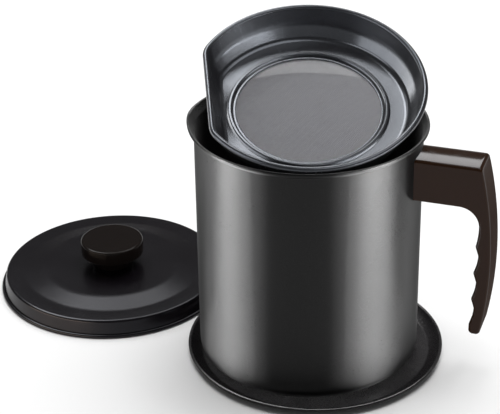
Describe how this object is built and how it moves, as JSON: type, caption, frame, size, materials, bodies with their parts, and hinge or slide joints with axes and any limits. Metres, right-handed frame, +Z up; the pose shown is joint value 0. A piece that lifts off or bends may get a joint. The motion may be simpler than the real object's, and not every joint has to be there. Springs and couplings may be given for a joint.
{
  "type": "bacon grease container",
  "caption": "Tall coated steel pot with a hooked side handle on a coaster tray, with a D-shaped mesh strainer pan tipped in its mouth and a knobbed cap lid beside it.",
  "frame": {"origin": "on the pot's axis, in the plane of the coaster tray's underside, which is also the surface that the lid lies on", "axes": "+Z up along the pot's axis, +X along the handle, away from the pot"},
  "size_m": [0.3307, 0.1887, 0.2006],
  "materials": {
    "pot_coat": "satin black non-stick coating with a fine grain",
    "lid_coat": "smooth satin black coating",
    "tray_coat": "smooth satin black coating",
    "pan_coat": "satin dark grey non-stick coating",
    "mesh_wire": "fine woven wire",
    "handle_phenolic": "polished dark brown phenolic",
    "knob_phenolic": "polished black phenolic",
    "plated_steel": "zinc-plated",
    "screw_steel": "bright plated",
    "brass": "turned"
  },
  "bodies": {
    "tray": {"coaster_tray": "tray_coat"},
    "pot": {"pot_shell": "pot_coat", "handle_bracket": "plated_steel", "handle_grip": "handle_phenolic", "handle_screw": "screw_steel"},
    "strainer": {"strainer_pan": "pan_coat", "strainer_mesh": "mesh_wire", "mesh_retainer": "pan_coat"},
    "lid": {"lid_shell": "lid_coat", "lid_knob": "knob_phenolic", "knob_insert": "brass", "knob_washer": "plated_steel", "knob_screw": "screw_steel"}
  },
  "joints": [
    {"name": "pot_lift", "type": "slide", "parent": "tray", "child": "pot", "axis": [0, 0, 1], "range_m": [0, 0.16]},
    {"name": "strainer_lift", "type": "slide", "parent": "pot", "child": "strainer", "axis": [0, 0, 1], "range_m": [0, 0.08]},
    {"name": "lid_lift", "type": "slide", "parent": "tray", "child": "lid", "axis": [0, 0, 1], "range_m": [0, 0.21]}
  ]
}
